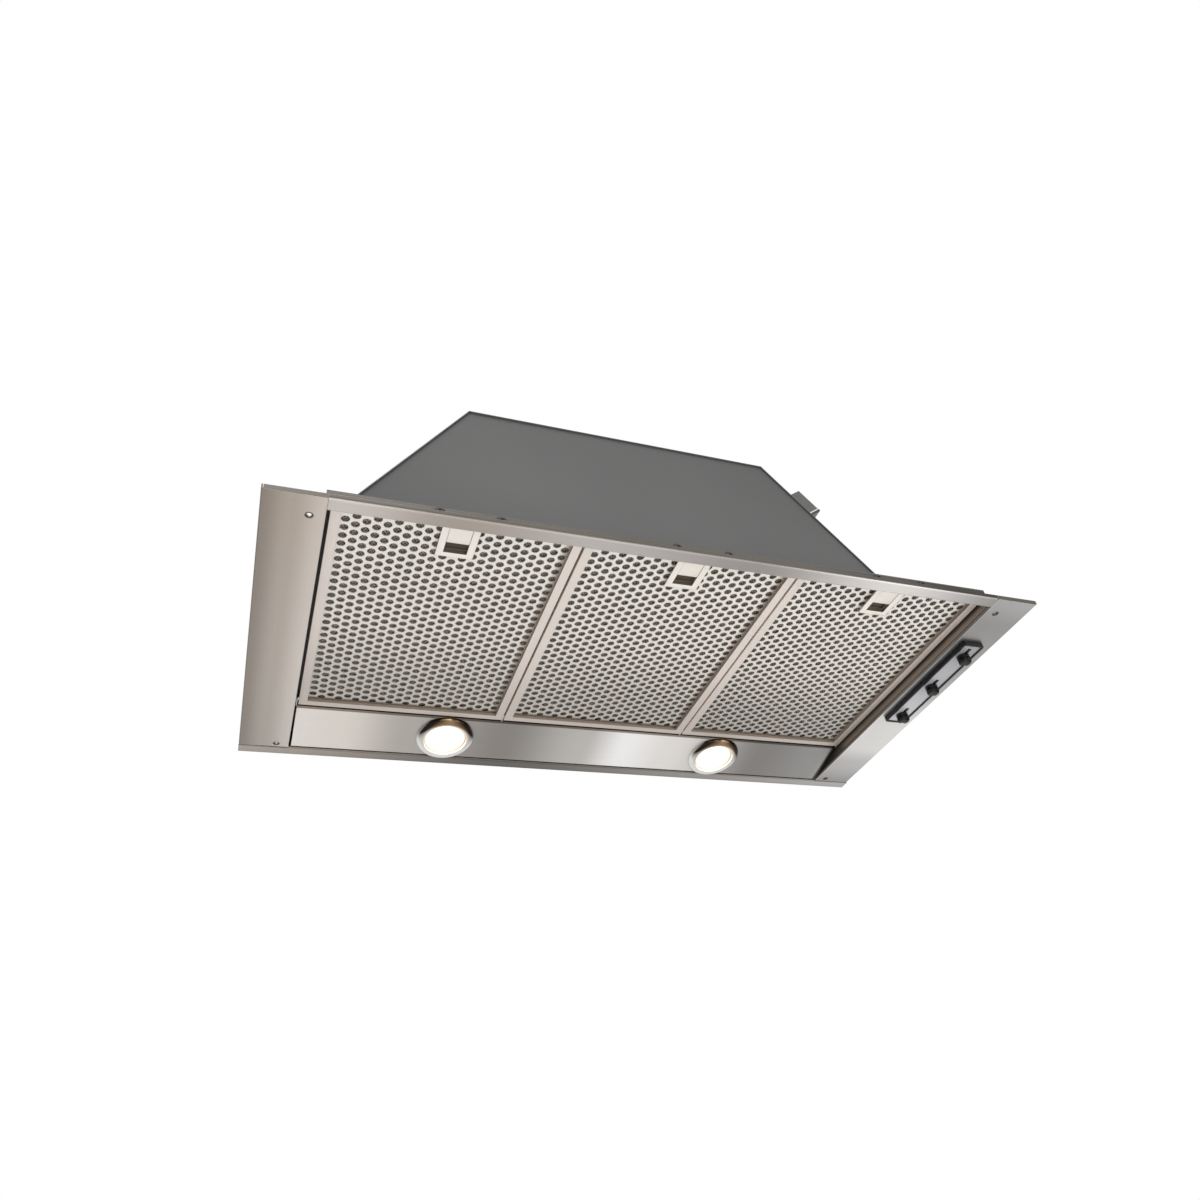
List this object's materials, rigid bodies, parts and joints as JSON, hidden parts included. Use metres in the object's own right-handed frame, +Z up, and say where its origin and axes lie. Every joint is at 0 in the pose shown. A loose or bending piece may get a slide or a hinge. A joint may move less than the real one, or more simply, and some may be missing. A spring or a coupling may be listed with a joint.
{
  "type": "range hood insert",
  "caption": "Pull-in range hood insert: tapered housing over a flanged steel rim with perforated grease filters, round lamps, slider controls and a damped duct collar.",
  "frame": {"origin": "centre of the rectangle of mounting holes, on the underside of the rim", "axes": "+X along the hood to the end with the controls, +Y from the user's side to the wall, +Z up into the cabinet"},
  "size_m": [0.73, 0.38, 0.2655],
  "materials": {
    "stainless": "brushed along the length",
    "chassis_steel": "fine brushed, duller than the rim",
    "housing_grey": "satin mid grey coating",
    "galvanised": "zinc coated, faint spangle",
    "damper_sheet": "mill finish",
    "zinc_fastener": "bright zinc",
    "dark_screw": "blackened",
    "bright_clip": "bright",
    "filter_frame": "satin, warm",
    "filter_face": "satin perforated sheet",
    "filter_mesh": "dull expanded mesh",
    "latch_metal": "satin",
    "chrome_ring": "polished",
    "lamp_glass": "frosted, lit warm white",
    "bulb_glass": "clear capsule",
    "black_plastic": "fine grain",
    "fascia_grey": "silver satin",
    "switch_plastic": "moulded",
    "knob_black": "semi-gloss",
    "motor_grey": "satin",
    "impeller_metal": "mill finish",
    "driver_case": "moulded"
  },
  "bodies": {
    "chassis": {"front_rail": "stainless", "rear_rail": "stainless", "left_wall": "chassis_steel", "right_wall": "chassis_steel", "left_trim": "stainless", "right_trim": "stainless", "trim_nuts": "zinc_fastener", "roof_front": "housing_grey", "roof_rear": "housing_grey", "roof_right": "housing_grey", "housing_front": "housing_grey", "housing_rear": "housing_grey", "housing_left": "housing_grey", "housing_right": "housing_grey", "housing_top": "housing_grey", "outlet_collar": "galvanised", "collar_screws": "zinc_fastener", "damper_rod": "zinc_fastener", "terminal_box": "housing_grey", "terminal_cover": "housing_grey", "cover_clip": "bright_clip", "light_panel": "stainless", "lamp_rings": "chrome_ring", "lamp_lenses": "lamp_glass", "lamp_holders": "galvanised", "lamp_bulbs": "bulb_glass", "control_bezel": "black_plastic", "control_fascia": "fascia_grey", "switch_block": "switch_plastic", "filter_rod": "zinc_fastener", "rod_brackets": "galvanised", "catch_rail": "galvanised", "catch_screws": "dark_screw", "scroll_band": "galvanised", "scroll_side_left": "galvanised", "scroll_side_right": "galvanised", "motor": "motor_grey", "motor_bracket": "galvanised", "lamp_driver": "driver_case"},
    "filter_1": {"filter_frame_1": "filter_frame", "filter_face_1": "filter_face", "filter_mesh_1": "filter_mesh", "latch_plate_1": "latch_metal"},
    "latch_1": {"latch_pull_1": "latch_metal"},
    "filter_2": {"filter_frame_2": "filter_frame", "filter_face_2": "filter_face", "filter_mesh_2": "filter_mesh", "latch_plate_2": "latch_metal"},
    "latch_2": {"latch_pull_2": "latch_metal"},
    "filter_3": {"filter_frame_3": "filter_frame", "filter_face_3": "filter_face", "filter_mesh_3": "filter_mesh", "latch_plate_3": "latch_metal"},
    "latch_3": {"latch_pull_3": "latch_metal"},
    "light_slider": {"slider_light": "knob_black"},
    "fan_slider": {"slider_fan": "knob_black"},
    "boost_slider": {"slider_boost": "knob_black"},
    "impeller": {"impeller": "impeller_metal"},
    "front_flap": {"damper_flap_front": "damper_sheet"},
    "rear_flap": {"damper_flap_rear": "damper_sheet"}
  },
  "joints": [
    {"name": "filter_1_swing", "type": "hinge", "parent": "chassis", "child": "filter_1", "pos_m": [-0.2098, 0.1065, 0.016], "axis": [1, 0, 0], "range_deg": [0, 75]},
    {"name": "latch_1_slide", "type": "slide", "parent": "filter_1", "child": "latch_1", "axis": [0, 1, 0], "range_m": [0, 0.005], "stiffness_N_per_m": 300, "springref_m": -0.003},
    {"name": "filter_2_swing", "type": "hinge", "parent": "chassis", "child": "filter_2", "pos_m": [0, 0.1065, 0.016], "axis": [1, 0, 0], "range_deg": [0, 75]},
    {"name": "latch_2_slide", "type": "slide", "parent": "filter_2", "child": "latch_2", "axis": [0, 1, 0], "range_m": [0, 0.005], "stiffness_N_per_m": 300, "springref_m": -0.003},
    {"name": "filter_3_swing", "type": "hinge", "parent": "chassis", "child": "filter_3", "pos_m": [0.2098, 0.1065, 0.016], "axis": [1, 0, 0], "range_deg": [0, 75]},
    {"name": "latch_3_slide", "type": "slide", "parent": "filter_3", "child": "latch_3", "axis": [0, 1, 0], "range_m": [0, 0.005], "stiffness_N_per_m": 300, "springref_m": -0.003},
    {"name": "light_slide", "type": "slide", "parent": "chassis", "child": "light_slider", "axis": [0, -1, 0], "range_m": [0, 0.01]},
    {"name": "fan_slide", "type": "slide", "parent": "chassis", "child": "fan_slider", "axis": [0, -1, 0], "range_m": [0, 0.01]},
    {"name": "boost_slide", "type": "slide", "parent": "chassis", "child": "boost_slider", "axis": [0, -1, 0], "range_m": [0, 0.01]},
    {"name": "impeller_spin", "type": "hinge", "parent": "chassis", "child": "impeller", "pos_m": [-0.03775, -0.055, 0.105], "axis": [1, 0, 0], "continuous": true},
    {"name": "front_flap_swing", "type": "hinge", "parent": "chassis", "child": "front_flap", "pos_m": [-0.03775, 0, 0.2005], "axis": [-1, 0, 0], "range_deg": [0, 75]},
    {"name": "rear_flap_swing", "type": "hinge", "parent": "chassis", "child": "rear_flap", "pos_m": [-0.03775, 0, 0.2005], "axis": [1, 0, 0], "range_deg": [0, 75]}
  ]
}
